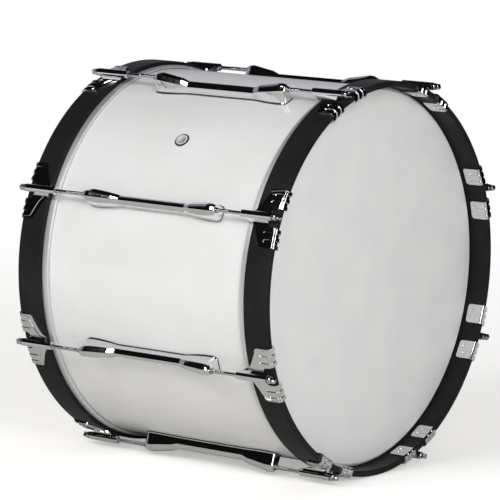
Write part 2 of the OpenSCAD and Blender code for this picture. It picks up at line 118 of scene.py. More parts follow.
@dataclass
class Graph:
    """Writes nodes and links into one node tree."""

    tree: bpy.types.NodeTree

    def fill(self, node: Node, **sockets: Any) -> Node:
        """Gives a node's inputs their values.

        Args:
            node: the node.
            **sockets: the input's name, with _ for a space, or i0, i1 for its place. The value
                is a constant or an output socket to link from.

        Returns:
            The same node.
        """
        for name, value in sockets.items():
            numbered = name[0] == "i" and name[1:].isdigit()
            socket = node.inputs[int(name[1:]) if numbered else name.replace("_", " ")]
            if isinstance(value, Socket):
                self.tree.links.new(value, socket)
            else:
                socket.default_value = value
        return node

    def add(self, kind: str, settings: dict[str, Any] | None = None, **sockets: Any) -> Node:
        """Adds a node.

        Args:
            kind: its type name.
            settings: its properties.
            **sockets: what its inputs take, as in fill.

        Returns:
            The new node.
        """
        node = self.tree.nodes.new(kind)
        for name, value in (settings or {}).items():
            setattr(node, name, value)
        return self.fill(node, **sockets)

    def out(self, kind: str, settings: dict[str, Any] | None = None, **sockets: Any) -> Socket:
        """Adds a node as add does and returns its first output."""
        return self.add(kind, settings, **sockets).outputs[0]

    def math(self, operation: str, *values: Any) -> Socket:
        """Adds a Math node and returns its result."""
        sockets = {f"i{n}": v for n, v in enumerate(values)}
        return self.out("ShaderNodeMath", {"operation": operation}, **sockets)

    def band(self, value: Socket, low: float, high: float, *to: float) -> Socket:
        """Maps low to high onto 0 to 1, or onto the two values given, held at both ends."""
        start, end = to or (0, 1)
        return self.out("ShaderNodeMapRange", i0=value, i1=low, i2=high, i3=start, i4=end)

    def blend(self, share: Socket, low: Any, high: Any) -> Socket:
        """Mixes two colours, each a hex colour or a socket, by a share.

        Args:
            share: how much of the second.
            low: the first colour.
            high: the second colour.

        Returns:
            The mixed colour.
        """
        low, high = (linear(c) if isinstance(c, str) else c for c in (low, high))
        settings = {"data_type": "RGBA"}
        return self.add("ShaderNodeMix", settings, i0=share, i6=low, i7=high).outputs[2]

    def split(self, vector: Socket) -> Sequence[Socket]:
        """Takes a vector apart into X, Y and Z."""
        return self.add("ShaderNodeSeparateXYZ", i0=vector).outputs

    def join(self, x: Any, y: Any, z: Any) -> Socket:
        """Puts a vector together from X, Y and Z."""
        return self.out("ShaderNodeCombineXYZ", i0=x, i1=y, i2=z)

    def noise(self, place: Socket, size: float, detail: float = 3, rough: float = 0.5) -> Socket:
        """Noise whose features are about size millimetres across."""
        sockets = {"Vector": place, "Scale": 1 / (size * MM), "Detail": detail, "Roughness": rough}
        return self.out("ShaderNodeTexNoise", **sockets)

    def emboss(self, shader: Node, height: Socket, depth: float, strength: float) -> None:
        """Raises a shader's surface by height times depth millimetres."""
        bump = self.out("ShaderNodeBump", Strength=strength, Distance=depth * MM, Height=height)
        self.fill(shader, Normal=bump)

    def polar(self, place: Socket) -> Looks:
        """Takes a place apart round the drum's axis.

        Args:
            place: a point in metres.

        Returns:
            Its angle from the top, its distance along the axis and its radius.
        """
        x, along, z = self.split(place)
        up = self.math("SUBTRACT", z, AXIS_HEIGHT * MM)
        square = self.math("ADD", self.math("POWER", x, 2.0), self.math("MULTIPLY", up, up))
        return self.math("ARCTAN2", x, up), along, self.math("SQRT", square)


def new_material(name: str) -> tuple[bpy.types.Material, Graph]:
    """Makes a material with Blender's usual two nodes, and the graph of its nodes.

    Args:
        name: its name.

    Returns:
        The material and the graph of its nodes.
    """
    made = bpy.data.materials.new(name)
    made.use_nodes = True
    return made, Graph(made.node_tree)


@dataclass(frozen=True)
class Finish:
    """A finish that a material is made from; each kind draws its own nodes.

    Colours and roughness are given for a low and for a high noise, relief is the skin's height
    in millimetres and its strength, coat the weight and roughness of a clear top layer.
    """

    name: str = "finish"
    colours: Pair = ("#ffffff", "#ffffff")
    roughness: Point = (0.3, 0.5)
    relief: Point = (0.01, 0.4)
    metallic: float = 0.0
    specular: float = 0.5
    coat: Point = (0.0, 0.03)

    def paint(self, graph: Graph, place: Socket) -> Looks:
        """Draws the finish: its colour, its roughness and the height of its skin."""
        raise NotImplementedError

    def dull(self, graph: Graph, grain: Socket) -> Socket:
        """The roughness that goes with a noise."""
        return graph.band(grain, 0.3, 0.7, *self.roughness)

    def material(self) -> bpy.types.Material:
        """Makes the material at the first call and finds it again later.

        Returns:
            The material.
        """
        found = bpy.data.materials.get(self.name)
        if found:
            return found
        made, graph = new_material(self.name)
        place = graph.add("ShaderNodeTexCoord").outputs["Object"]
        colour, rough, height = self.paint(graph, place)
        shader = graph.fill(
            graph.tree.nodes["Principled BSDF"], Base_Color=colour, Roughness=rough,
            Metallic=self.metallic, Specular_IOR_Level=self.specular,
            Coat_Weight=self.coat[0], Coat_Roughness=self.coat[1],
        )
        graph.emboss(shader, height, *self.relief)
        return made


@dataclass(frozen=True)
class GlossWrap(Finish):
    """White acrylic wrap on birch plies: clear top layer outside, wood within."""

    name: str = "white_acrylic_wrap"
    colours: Pair = ("#e6e6e5", "#ebebeb")
    roughness: Point = (0.2, 0.26)
    relief: Point = (0.03, 0.5)
    coat: Point = (0.35, 0.06)
    wood_colours: Pair = ("#cfae82", "#a87f52")
    wood_roughness: float = 0.6
    ply: float = 1.25
    wrap: float = 0.5

    def paint(self, graph: Graph, place: Socket) -> Looks:
        """White film outside the last half millimetre, stacked plies inside it.

        Args:
            graph: writes into the material's tree.
            place: the point that is shaded.

        Returns:
            Its colour, its roughness and the height of its skin.
        """
        radius = graph.polar(place)[2]
        layer = graph.math("MODULO", graph.math("DIVIDE", radius, 2 * self.ply * MM), 1.0)
        ply = graph.blend(graph.math("GREATER_THAN", layer, 0.5), *self.wood_colours)
        times = {"operation": "MULTIPLY"}
        stretched = graph.out("ShaderNodeVectorMath", times, i0=place, i1=(1, 0.06, 1))
        grain = graph.band(graph.noise(stretched, 1.4, 4, 0.6), 0.35, 0.7, 0, 0.45)
        wood = graph.blend(grain, ply, self.wood_colours[1])
        cloud = graph.band(graph.noise(place, 90, 2), 0.35, 0.65)
        white = graph.blend(cloud, *self.colours)
        outside = graph.math("GREATER_THAN", radius, (SHELL_RADIUS - self.wrap) * MM)
        haze = self.dull(graph, graph.noise(place, 22, 3))
        number = {"data_type": "FLOAT"}
        rough = graph.out("ShaderNodeMix", number, i0=outside, i2=self.wood_roughness, i3=haze)
        return graph.blend(outside, wood, white), rough, graph.noise(place, 14, 2)


@dataclass(frozen=True)
class CoatedFilm(Finish):
    """Polyester film with a sprayed white coat, matt to the touch."""

    name: str = "coated_polyester_film"
    colours: Pair = ("#e5e5e6", "#ebebeb")
    roughness: Point = (0.5, 0.62)
    relief: Point = (0.05, 0.4)
    specular: float = 0.4

    def paint(self, graph: Graph, place: Socket) -> Looks:
        """Fine sprayed grit over a soft, slightly uneven white.

        Args:
            graph: writes into the material's tree.
            place: the point that is shaded.

        Returns:
            Its colour, its roughness and the height of its skin.
        """
        cloud = graph.band(graph.noise(place, 60, 3), 0.3, 0.7)
        grit = graph.noise(place, 0.9, 4, 0.7)
        return graph.blend(cloud, *self.colours), self.dull(graph, grit), grit


@dataclass(frozen=True)
class SatinLacquer(Finish):
    """Black lacquer rubbed to a satin over maple plies, with the grain just telegraphing."""

    name: str = "satin_black_lacquer"
    colours: Pair = ("#1f1f20", "#272728")
    roughness: Point = (0.36, 0.44)
    relief: Point = (0.04, 0.35)
    specular: float = 0.1
    stretch: float = 0.02

    def paint(self, graph: Graph, place: Socket) -> Looks:
        """Rubbed lacquer: long grain round the hoop, and slightly paler rubbed patches.

        Args:
            graph: writes into the material's tree.
            place: the point that is shaded.

        Returns:
            Its colour, its roughness and the height of its skin.
        """
        turn, along, radius = graph.polar(place)
        round_hoop = graph.join(graph.math("MULTIPLY", turn, self.stretch), along, radius)
        grain = graph.noise(round_hoop, 1.1, 4, 0.6)
        patch = graph.band(graph.noise(place, 35, 3), 0.45, 0.75)
        return graph.blend(patch, *self.colours), self.dull(graph, grain), grain


@dataclass(frozen=True)
class ChromePlate(Finish):
    """Bright chromium over polished metal."""

    name: str = "chromium_plate"
    colours: Pair = ("#e9eaec", "#dadbde")
    roughness: Point = (0.06, 0.108)
    relief: Point = (0.012, 0.6)
    metallic: float = 1.0
    wave: float = 7.0

    def paint(self, graph: Graph, place: Socket) -> Looks:
        """A mirror with the faint waviness that polishing leaves, and light handling haze.

        Args:
            graph: writes into the material's tree.
            place: the point that is shaded.

        Returns:
            Its colour, its roughness and the height of its skin.
        """
        haze = graph.noise(place, 3.5, 4)
        colour = graph.blend(graph.band(haze, 0.4, 0.8, 0, 0.35), *self.colours)
        rough = graph.band(haze, 0.35, 0.75, *self.roughness)
        return colour, rough, graph.noise(place, self.wave, 1)


@dataclass(frozen=True)
class SpunAluminium(Finish):
    """Rolled aluminium channel with fine lines round the drum."""

    name: str = "satin_rolled_aluminium"
    colours: Pair = ("#e0e2e6", "#f1f2f5")
    roughness: Point = (0.4, 0.5)
    metallic: float = 0.75

    def paint(self, graph: Graph, place: Socket) -> Looks:
        """Satin metal whose lines follow the circumference.

        Args:
            graph: writes into the material's tree.
            place: the point that is shaded.

        Returns:
            Its colour, its roughness and the height of its skin.
        """
        _, along, radius = graph.polar(place)
        lines = graph.noise(graph.join(radius, along, 0.0), 0.35, 2, 0.6)
        return graph.blend(lines, *self.colours), self.dull(graph, lines), lines


@dataclass(frozen=True)
class Mottled(Finish):
    """Plated or anodised metal, or a moulding: spots differ in colour, dullness and height."""

    name: str = "zinc_plated_steel"
    colours: Pair = ("#b9bbbd", "#8f9194")
    roughness: Point = (0.24, 0.39)
    metallic: float = 1.0
    spots: Point = (0.35, 0.75)
    size: float = 2.2
    detail: float = 4

    def paint(self, graph: Graph, place: Socket) -> Looks:
        """One noise, from which all three follow.

        Args:
            graph: writes into the material's tree.
            place: the point that is shaded.

        Returns:
            Its colour, its roughness and the height of its skin.
        """
        mottle = graph.noise(place, self.size, self.detail, 0.6)
        spots = graph.band(mottle, *self.spots)
        return graph.blend(spots, *self.colours), self.dull(graph, mottle), mottle


@dataclass(frozen=True)
class Moulded(Mottled):
    """Moulded rubber or nylon with a spark-eroded grain."""

    name: str = "moulded_rubber"
    colours: Pair = ("#141414", "#202021")
    roughness: Point = (0.495, 0.605)
    relief: Point = (0.03, 0.5)
    metallic: float = 0.0
    spots: Point = (0.4, 0.8)
    size: float = 0.5
    detail: float = 3


class Finishes(Enum):
    """The finishes that the drum is made in."""

    WRAP = GlossWrap()
    FILM = CoatedFilm()
    LACQUER = SatinLacquer()
    CASTING = ChromePlate()
    ROD = ChromePlate("bright_rod_plate", ("#cdced1", "#babbbf"), (0.12, 0.216), wave=3.0)
    CHANNEL = SpunAluminium()
    ZINC = Mottled()
    NICKEL = Mottled("nickel_plated_brass", ("#b4b3b1", "#8b8a88"), (0.112, 0.182))
    EYELET = Mottled("matt_anodised_aluminium", ("#dcdcdb", "#cbcbca"), (0.4, 0.65), metallic=0.25)
    RUBBER = Moulded()
    NYLON = Moulded("moulded_nylon", ("#1a1a1b", "#262627"), (0.36, 0.44), size=0.8)


class Side(Enum):
    """The two ends of the drum: the sign of Y there."""

    front = -1
    rear = 1


# --- mesh helpers


def mesh_object(name: str, points: Sequence[Place], faces: Sequence[Sequence[int]]) -> Piece:
    """Makes an object of a mesh, at the origin.

    Args:
        name: name of both.
        points: the corners, in millimetres.
        faces: for each face, the numbers of its corners.

    Returns:
        The object.
    """
    mesh = bpy.data.meshes.new(name)
    mesh.from_pydata([tuple(c * MM for c in p) for p in points], [], [tuple(f) for f in faces])
    mesh.validate()
    return in_scene(name, mesh)


def shade(work: Work, angle: float) -> None:
    """Points all faces outwards and makes them smooth, with some edges sharp.

    Args:
        work: the mesh.
        angle: edges that bend by more degrees than this are sharp.
    """
    bmesh.ops.recalc_face_normals(work, faces=work.faces)
    for face in work.faces:
        face.smooth = True
    for edge in work.edges:
        if len(edge.link_faces) == 2:
            edge.smooth = edge.calc_face_angle(0) < math.radians(angle)


def clean(piece: Piece, angle: float) -> None:
    """Joins points that lie on each other and shades the piece.

    Args:
        piece: the piece.
        angle: as in shade.
    """
    work = bmesh.new()
    work.from_mesh(piece.data)
    bmesh.ops.remove_doubles(work, verts=work.verts, dist=0.002 * MM)
    shade(work, angle)
    work.to_mesh(piece.data)
    work.free()


def evaluated(piece: Piece) -> Mesh:
    """Makes a plain mesh of a piece as its modifiers leave it.

    Args:
        piece: the piece.

    Returns:
        The new mesh.
    """
    bpy.context.view_layer.update()
    depsgraph = bpy.context.evaluated_depsgraph_get()
    return bpy.data.meshes.new_from_object(piece.evaluated_get(depsgraph), depsgraph=depsgraph)


def apply_modifiers(piece: Piece) -> None:
    """Replaces the mesh by what the modifiers make of it.

    Args:
        piece: the piece.
    """
    made = evaluated(piece)
    piece.modifiers.clear()
    piece.data = made


def lathe_mesh(profile: Line, steps: int) -> tuple[list[Place], list[Face]]:
    """Turns a closed or open profile about the local Y axis.

    Args:
        profile: points as (radius, distance along the axis).
        steps: segments round.

    Returns:
        Points and faces. A profile point at radius 0 becomes one point.
    """
    points: list[Place] = []
    rings: list[list[int]] = []
    for radius, along in profile:
        if radius < 1e-6:
            rings.append([len(points)] * steps)
            points.append((0.0, along, 0.0))
            continue
        rings.append(list(range(len(points), len(points) + steps)))
        for k in range(steps):
            a = 2 * math.pi * k / steps
            points.append((radius * math.sin(a), along, radius * math.cos(a)))
    faces: list[Face] = []
    for low, high in zip(rings, rings[1:]):
        for k in range(steps):
            n = (k + 1) % steps
            corners = tuple(dict.fromkeys((low[k], low[n], high[n], high[k])))
            if len(corners) > 2:
                faces.append(corners)
    return points, faces


def turned(name: str, line: Line, steps: int, angle: float, height: float) -> Piece:
    """Makes a piece by turning a line about an axis along Y.

    Args:
        name: name of the piece.
        line: points as (radius, Y).
        steps: segments round.
        angle: as in shade.
        height: of the axis.

    Returns:
        The piece.
    """
    points, faces = lathe_mesh(line, steps)
    made = mesh_object(name, [(x, y, z + height) for x, y, z in points], faces)
    clean(made, angle)
    return made


def rounded(corners: Line, radii: Sequence[float], steps: int = 5) -> list[Point]:
    """Rounds the corners of an open line.

    Args:
        corners: the line's points.
        radii: how far from each corner its round starts; 0 keeps it sharp.
        steps: segments in each round.

    Returns:
        The rounded line.
    """
    made: list[Point] = []
    for i, (corner, reach) in enumerate(zip(corners, radii)):
        if reach <= 0 or i in (0, len(corners) - 1):
            made.append(corner)
            continue
        here = Vector(corner)
        before = Vector(corners[i - 1]) - here
        after = Vector(corners[i + 1]) - here
        start = here + before.normalized() * min(reach, before.length * 0.49)
        end = here + after.normalized() * min(reach, after.length * 0.49)
        for k in range(steps + 1):
            t = k / steps
            p = start * (1 - t) ** 2 + here * (2 * t * (1 - t)) + end * t**2
            made.append((p.x, p.y))
    return made


def coat(piece: Piece, finish: Finishes) -> None:
    """Gives a piece one finish."""
    piece.data.materials.clear()
    piece.data.materials.append(finish.value.material())


def fit(piece: Piece, finish: Finishes, node: str, body: str) -> None:
    """Puts a finished piece in the place of a solid.

    Args:
        piece: the piece, where it stands.
        finish: what it is coated with.
        node: the solid that it stands for.
        body: the body that carries it.
    """
    coat(piece, finish)
    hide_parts(node)
    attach(piece, body)
    LOG.info("%s stands for %s", piece.name, node)


@dataclass(frozen=True)
class Layout:
    """Where the repeated pieces sit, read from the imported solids."""

    hoop_radius: float
    hoop_low: float
    hoop_high: float
    lug_end: float
    lug_shift: float
    nut_nose: float
    rod_tip: float
    key_top: float
    count: int = 8
    rod_circle: float = 272.0

    @classmethod
    def measured(cls) -> Layout:
        """Reads the layout from the boxes of the solids.

        Returns:
            The layout.
        """
        hoop, lug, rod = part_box("rear_hoop"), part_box("lug_1"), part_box("rear_rod_1")
        middle = (lug[0].y + lug[1].y) / 2
        return cls(
            hoop_radius=(hoop[1].z - hoop[0].z) / 2 / MM,
            hoop_low=hoop[0].y / MM,
            hoop_high=hoop[1].y / MM,
            lug_end=(lug[1].y - lug[0].y) / 2 / MM,
            lug_shift=middle / MM,
            nut_nose=(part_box("swivel_nuts")[1].y - middle) / MM,
            rod_tip=rod[0].y / MM,
            key_top=rod[1].y / MM,
        )

    def turn(self, number: int) -> float:
        """Angle of place number from the top of the drum, in radians."""
        return (number - 0.5) * 2 * math.pi / self.count

    def at(self, number: int, side: Side = Side.rear, shift: float = 0.0) -> Matrix:
        """Carries a piece from where it is drawn to its place, moved along the axis by shift.

        Args:
            number: number of the place.
            side: the end of the drum.
            shift: how far along the axis, in millimetres.

        Returns:
            The transform.
        """
        up = Matrix.Translation((0, shift * MM, self.hoop_radius * MM))
        flip = Matrix.Scale(-1, 4, (0, 1, 0)) if side is Side.front else Matrix.Identity(4)
        return up @ Matrix.Rotation(-self.turn(number), 4, "Y") @ flip

    def numbers(self) -> range:
        """The numbers of the places round the drum."""
        return range(1, self.count + 1)

    def places(self) -> list[tuple[Side, int]]:
        """Every end with every number."""
        return [(side, number) for side in Side for number in self.numbers()]


def placed_copy(name: str, source: Mesh, place: Matrix) -> Piece:
    """Makes an object of a copy of a mesh, with its place in its vertices.

    Args:
        name: name of the new object.
        source: the mesh, as drawn.
        place: where it goes.

    Returns:
        The new object.
    """
    mesh = source.copy()
    mesh.transform(place)
    if place.determinant() < 0:
        mesh.flip_normals()
    return in_scene(name, mesh)


# --- geometry nodes


@dataclass
class ShapeTree:
    """A geometry node group with named inputs that ends in Realize Instances and Set Material."""

    name: str
    inputs: dict[str, str]
    graph: Graph = field(init=False)
    source: Node = field(init=False)

    def __post_init__(self) -> None:
        """Makes the group and its sockets."""
        tree = bpy.data.node_groups.new(self.name, "GeometryNodeTree")
        for label, kind in (*self.inputs.items(), ("Finish", "Material")):
            tree.interface.new_socket(label, in_out="INPUT", socket_type=f"NodeSocket{kind}")
        tree.interface.new_socket("Mesh", in_out="OUTPUT", socket_type="NodeSocketGeometry")
        self.graph = Graph(tree)
        self.source = tree.nodes.new("NodeGroupInput")

    def close(self, shape: Socket) -> None:
        """Ends the group: real geometry in one finish.

        Args:
            shape: the geometry that is made.
        """
        finish = self.source.outputs["Finish"]
        real = self.graph.out("GeometryNodeRealizeInstances", i0=shape)
        coated = self.graph.out("GeometryNodeSetMaterial", Geometry=real, Material=finish)
        self.graph.add("NodeGroupOutput", i0=coated)

    def make(self, name: str, finish: Finishes, mesh: Mesh | None = None, **values: Any) -> Mesh:
        """Runs the group and returns the plain mesh.

        Args:
            name: name of the mesh.
            finish: the finish that is set on it.
            mesh: what the group starts from, if it takes a mesh.
            **values: input name, with _ for a space, and its value.

        Returns:
            The evaluated mesh.
        """
        carrier = in_scene(name, mesh or bpy.data.meshes.new(name))
        modifier = carrier.modifiers.new("shape", "NODES")
        modifier.node_group = self.graph.tree
        given = {label.replace("_", " "): value for label, value in values.items()}
        given["Finish"] = finish.value.material()
        for item in self.graph.tree.interface.items_tree:
            if item.in_out == "INPUT" and item.name in given:
                modifier[item.identifier] = given[item.name]
        made = evaluated(carrier)
        made.name = name
        bpy.data.objects.remove(carrier)
        return made


def thread_tree() -> ShapeTree:
    """A rolled thread along Z: a fine tube pushed in along a helix, fading at its ends.

    Returns:
        The group.
    """
    lengths = dict.fromkeys(("Crest Radius", "Depth", "Pitch", "Length"), "Float")
    shape = ShapeTree("rolled_thread", {**lengths, "Rows": "Int", "Steps": "Int"})
    g, given = shape.graph, shape.source.outputs
    crest, pitch, length = given["Crest Radius"], given["Pitch"], given["Length"]
    tube = g.out(
        "GeometryNodeMeshCylinder", {"fill_type": "NONE"}, Vertices=given["Steps"],
        Side_Segments=given["Rows"], Radius=crest, Depth=length,
    )
    x, y, z = g.split(g.out("GeometryNodeInputPosition"))
    turn = g.math("DIVIDE", g.math("ARCTAN2", y, x), 2 * math.pi)
    wave = g.math("SUBTRACT", g.math("DIVIDE", z, pitch), turn)
    valley = g.band(g.math("MULTIPLY", g.math("PINGPONG", wave, 0.5), 2.0), 0.12, 0.88)
    to_end = g.math("SUBTRACT", g.math("MULTIPLY", length, 0.5), g.math("ABSOLUTE", z))
    fade = g.band(g.math("DIVIDE", to_end, pitch), 0.0, 1.5)
    sink = g.math("MULTIPLY", g.math("MULTIPLY", valley, fade), given["Depth"])
    inward = g.math("MULTIPLY", g.math("DIVIDE", sink, crest), -1.0)
    push = g.out(
        "ShaderNodeVectorMath", {"operation": "SCALE"}, i0=g.join(x, y, 0.0), Scale=inward
    )
    shape.close(g.out("GeometryNodeSetPosition", Geometry=tube, Offset=push))
    return shape


def ring_tree() -> ShapeTree:
    """Repeats one piece, as drawn, round the drum and if asked at both ends.

    Returns:
        The group.
    """
    sockets = {"Mesh": "Geometry", "Count": "Int", "Step": "Float", "Height": "Float"}
    shape = ShapeTree("ring_of_pieces", {**sockets, "Both Ends": "Bool"})
    g, given = shape.graph, shape.source.outputs
    dots = g.out("GeometryNodePoints", Count=given["Count"])
    order = g.out("GeometryNodeInputIndex")
    angle = g.math("MULTIPLY", g.math("ADD", order, 0.5), given["Step"])
    turn = g.join(0.0, g.math("MULTIPLY", angle, -1.0), 0.0)
    spread = g.out(
        "GeometryNodeInstanceOnPoints", Points=dots, Instance=given["Mesh"], Rotation=turn
    )
    real = g.out("GeometryNodeRealizeInstances", i0=spread)
    mirrored = g.out("GeometryNodeTransform", Geometry=real, Scale=(1, -1, 1))
    other = g.out(
        "GeometryNodeSwitch", {"input_type": "GEOMETRY"}, Switch=given["Both Ends"],
        i2=g.out("GeometryNodeFlipFaces", Mesh=mirrored),
    )
    both = g.fill(g.add("GeometryNodeJoinGeometry", i0=real), i0=other).outputs[0]
    lift = g.join(0.0, 0.0, given["Height"])
    shape.close(g.out("GeometryNodeTransform", Geometry=both, Translation=lift))
    return shape


# --- sub-assemblies


@dataclass
class Hoops:
    """The three rings of one end: wooden hoop, flesh hoop and head.

    Lines are points of (radius, distance from the drum's middle).
    """

    layout: Layout
    side: Side
    inner: float = 255.1
    edge: float = 1.9
    channel_radii: Point = (254.72, 258.58)
    channel_span: Point = (158.9, 168.1)
    wall_top: float = 165.4
    sheet: float = 0.8
    lip: Point = (2.0, 0.7)
    film_outside: Line = (
        (0, 178.44), (249.98, 178.44), (254.64, 173.78), (254.64, 165.85), (257.7, 165.85),
    )
    film_inside: Line = (
        (257.7, 165.5), (254.31, 165.5), (254.31, 173.62), (249.83, 178.11), (0, 178.11),
    )
    steps: int = 512

    def revolve(self, name: str, line: Line, angle: float = 40) -> Piece:
        """Turns a line, closed first unless it starts on the axis, about the drum's axis.

        Args:
            name: the piece's name after that of the end.
            line: points as (radius, distance).
            angle: as in shade.

        Returns:
            The piece.
        """
        end = [line[0]] if line[0][0] > 0 else []
        loop = [(r, y * self.side.value) for r, y in (*line, *end)]
        return turned(f"{self.side.name}_{name}", loop, self.steps, angle, self.layout.hoop_radius)

    def wooden(self) -> Piece:
        """The hoop, with softly rounded edges.

        Returns:
            The piece.
        """
        r0, r1, e = self.inner, self.layout.hoop_radius, self.edge
        y0, y1, middle = self.layout.hoop_low, self.layout.hoop_high, (r0 + r1) / 2
        corners = [(middle, y0), (r1, y0), (r1, y1), (r0, y1), (r0, y0), (middle, y0)]
        return self.revolve("hoop_wood", rounded(corners, (0, e, e, e, e, 0), 6)[:-1])

    def channel(self) -> Piece:
        """The rolled channel of the flesh hoop, with a soft outer edge.

        Returns:
            The piece.
        """
        (r0, r1), (y0, y1), t = self.channel_radii, self.channel_span, self.sheet
        lip, under = r0 + self.lip[0], y1 - self.lip[1]
        corners = [(r0, self.wall_top), (r0, y0), (r1, y0), (r1, y1), (lip, y1), (lip, under)]
        corners += [(r1 - t, under), (r1 - t, y0 + t), (r0 + t, y0 + t), (r0 + t, self.wall_top)]
        section = rounded(corners, (0, 0.9, 0.9, 0.7, 0.3, 0, 0, 0, 0, 0), 4)
        return self.revolve("flesh_hoop_channel", section)

    def film(self) -> Piece:
        """The film: flat face, rounded shoulder over the bearing edge and the collar.

        Returns:
            The piece.
        """
        line = [*self.film_outside, *self.film_inside]
        line = rounded(line, (0, 1.6, 1.6, 0, 0, 0, 0, 1.4, 1.4, 0), 5)
        return self.revolve("head_film", line, 60)

    def build(self) -> None:
        """Builds the three rings."""
        end, body = self.side.name, f"{self.side.name}_rim"
        fit(self.wooden(), Finishes.LACQUER, f"{end}_hoop", body)
        fit(self.channel(), Finishes.CHANNEL, f"{end}_flesh_hoop", body)
        fit(self.film(), Finishes.FILM, f"{end}_head", body)


@dataclass
class BridgeLug:
    """One long lug that joins a front and a rear tension rod: two pods and a slim bar.

    A half width or radius is given for the bar and for the pod. A turn is the length and the
    depth of a round at the end of a pod, and the span of a hole is measured from there.
    """

    layout: Layout
    foot_radius: float = 255.2
    bar_half: float = 54.5
    ramp: Point = (10.0, 0.41)
    climb: float = 42.0
    flare: Point = (0.9, 1.0)
    foot_turn: Point = (8.0, 5.0)
    side_turn: Point = (14.0, 4.6)
    crown_turn: Point = (9.0, 2.6)
    foot_half: Point = (7.5, 10.85)
    shoulder_half: Point = (6.6, 9.15)
    shoulder: Point = (264.6, 272.3)
    crown_half: Point = (1.95, 3.9)
    crown: Point = (269.85, 278.65)
    crown_rise: float = 0.12
    foot_rise: float = 0.2
    soft: float = 1.1
    nose_hole: float = 3.95
    hole_span: Point = (-7, 4)

    def section(self, along: float) -> list[Point]:
        """Draws the outline across the lug.

        Args:
            along: distance from the lug's middle.

        Returns:
            Points as (sideways, radius).
        """
        reach, end = abs(along), self.layout.lug_end
        past = max(0.0, min(self.climb, reach - self.bar_half))
        steep = min(past, self.ramp[0]) / self.ramp[0]
        gentle = max(0.0, past - self.ramp[0]) / (self.climb - self.ramp[0])
        pod = self.ramp[1] * steep + (1 - self.ramp[1]) * gentle
        wide = math.sin(past / self.climb * math.pi / 2)

        def taken(turn: Point) -> float:
            """How much a round at the end takes off here."""
            u = max(0.0, min(1.0, (reach - end + turn[0]) / turn[0]))
            return turn[1] * (1 - math.sqrt(1 - u * u))

        drop = taken(self.crown_turn)
        foot = between(self.foot_half, wide) - taken(self.foot_turn)
        shoulder = between(self.shoulder_half, wide) - taken(self.side_turn)
        side = max(foot - self.flare[0], shoulder)
        crown_r = between(self.crown, pod) - drop
        floor_r = math.sqrt(self.foot_radius**2 - foot**2)
        half = [
            (foot, floor_r),
            (foot, floor_r + self.foot_rise),
            (side, floor_r + self.flare[1]),
            (shoulder, between(self.shoulder, pod) - drop / 2),
            (between(self.crown_half, pod) - drop / 2, crown_r),
            (0.0, crown_r + self.crown_rise),
        ]
        outline = rounded(half, (0, 0.1, 0.3, self.soft, self.soft, 0), 4)
        return outline + [(-x, r) for x, r in reversed(outline[:-1])]

    def stations(self) -> list[float]:
        """Distances from the middle where sections are drawn, close where the form turns.

        Returns:
            The distances, in order.
        """
        end, curve, start = self.layout.lug_end, self.side_turn[0], self.bar_half
        kink, top = start + self.ramp[0], start + self.climb
        stops = {0.0, 20.0, 40.0, start - 0.6, start - 0.01, kink + 0.01}
        stops |= {start + self.ramp[0] * k / 8 for k in range(9)}
        stops |= {kink + (top - kink) * k / 10 for k in range(1, 11)}
        stops |= {end - curve * (1 - math.sin(math.pi * k / 48)) for k in range(25)}
        half = sorted(stops)
        return [-s for s in reversed(half[1:])] + half

    def mesh(self) -> Mesh:
        """The casting, as drawn, with the two holes for the swivel nuts.

        Returns:
            The mesh of the pattern.
        """
        stations = self.stations()
        rows = [self.section(s) for s in stations]
        wide = len(rows[0])
        points = [(x, s, r) for s, row in zip(stations, rows) for x, r in row]
        faces: list[Face] = []
        for i in range(len(rows) - 1):
            for k in range(wide):
                n = (k + 1) % wide
                faces.append((i * wide + k, i * wide + n, (i + 1) * wide + n, (i + 1) * wide + k))
        faces.append(tuple(range(wide)))
        faces.append(tuple(range(len(points) - 1, len(points) - 1 - wide, -1)))
        piece = mesh_object("lug_pattern", points, faces)
        clean(piece, 40)
        for sign in (-1, 1):
            self.bore(piece, sign)
        clean(piece, 32)
        mesh = piece.data
        bpy.data.objects.remove(piece)
        return mesh

    def bore(self, piece: Piece, sign: int) -> None:
        """Cuts the hole for a swivel nut's nose.

        Args:
            piece: the lug.
            sign: the end that is cut, as the sign of Y there.
        """
        low, high = (sign * (self.layout.lug_end + past) for past in self.hole_span)
        hole = [(0, low), (self.nose_hole, low), (self.nose_hole, high), (0, high)]
        cutter = turned("cutter", hole, 48, 40, self.layout.rod_circle)
        cut = piece.modifiers.new("hole", "BOOLEAN")
        cut.operation, cut.solver, cut.object = "DIFFERENCE", "EXACT", cutter
        apply_modifiers(piece)
        bpy.data.objects.remove(cutter)

    def build(self) -> None:
        """Places the lugs round the shell."""
        pattern = self.mesh()
        for number in self.layout.numbers():
            place = self.layout.at(number, shift=self.layout.lug_shift)
            made = placed_copy(f"bridge_lug_{number}", pattern, place)
            fit(made, Finishes.CASTING, f"lug_{number}", "shell")


